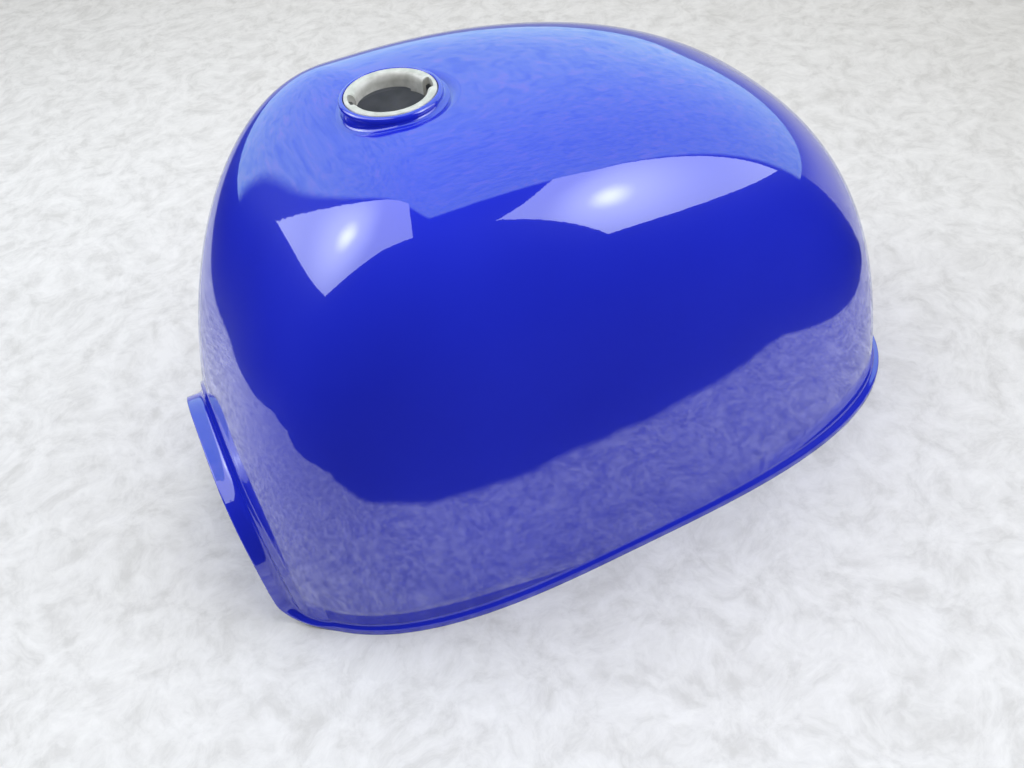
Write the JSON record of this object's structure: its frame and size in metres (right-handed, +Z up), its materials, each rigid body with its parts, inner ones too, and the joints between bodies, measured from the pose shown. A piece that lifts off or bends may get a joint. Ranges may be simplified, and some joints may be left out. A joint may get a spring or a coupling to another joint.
{
  "type": "fuel tank",
  "caption": "Small motorcycle fuel tank: deep drawn rounded shell with a turned-out front arch, a pan with a frame tunnel and a bayonet filler neck.",
  "frame": {"origin": "centre of the bounding box in plan, on the plane the foot of the shell stands on", "axes": "-X to the front of the tank, +X to the rear, +Z up, the tank's middle plane is Y = 0 and -Y is its left side"},
  "size_m": [0.3734, 0.2118, 0.2146],
  "materials": {
    "paint": "gloss",
    "zinc": "satin",
    "steel": "satin"
  },
  "bodies": {
    "root": {"outer_shell": "paint", "bottom_pan": "paint", "filler_collar": "paint", "filler_insert": "zinc", "tap_boss": "steel", "front_mount_left": "paint", "front_mount_right": "paint", "rear_bridge": "paint", "rear_nut": "steel"}
  },
  "joints": []
}
